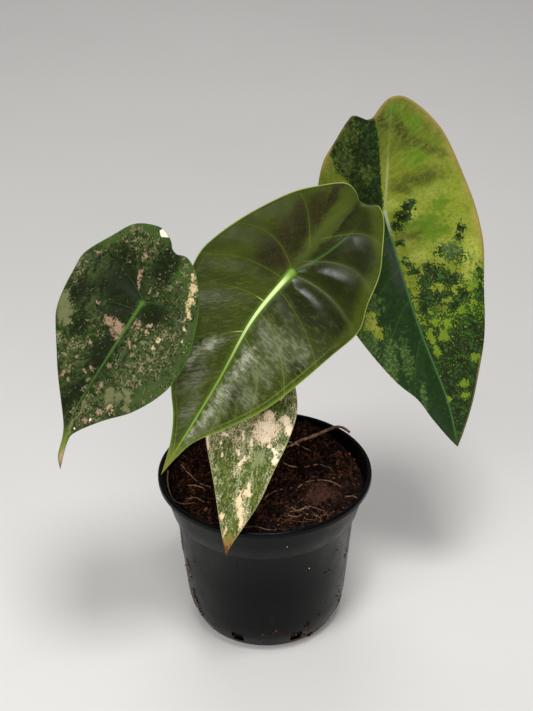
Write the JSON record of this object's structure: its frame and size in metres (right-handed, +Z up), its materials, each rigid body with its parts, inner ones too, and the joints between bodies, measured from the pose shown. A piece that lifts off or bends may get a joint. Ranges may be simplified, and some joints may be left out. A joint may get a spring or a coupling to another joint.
{
  "type": "potted alocasia",
  "caption": "Young variegated alocasia with hanging shield-shaped leaves on arching stalks, standing in the soil of a round black plastic nursery pot.",
  "frame": {"origin": "centre of the pot's flat foot, on the surface that the pot stands on", "axes": "+Z up; the front of the plant, which the blades face, is towards -Y; +X to the right seen from the front"},
  "size_m": [0.2238, 0.138, 0.2957],
  "materials": {
    "pot_plastic": "satin",
    "coir_soil": "matte",
    "crown_flesh": "satin",
    "stalk_flesh": "satin",
    "leaf_speckled": "satin",
    "leaf_olive": "gloss",
    "leaf_lime": "satin",
    "leaf_cream": "satin"
  },
  "bodies": {
    "root": {"pot": "pot_plastic", "soil": "coir_soil", "crown": "crown_flesh", "stalk_left": "stalk_flesh", "stalk_centre": "stalk_flesh", "stalk_right": "stalk_flesh", "stalk_small": "stalk_flesh", "blade_left": "leaf_speckled", "blade_centre": "leaf_olive", "blade_right": "leaf_lime", "blade_small": "leaf_cream"}
  },
  "joints": []
}
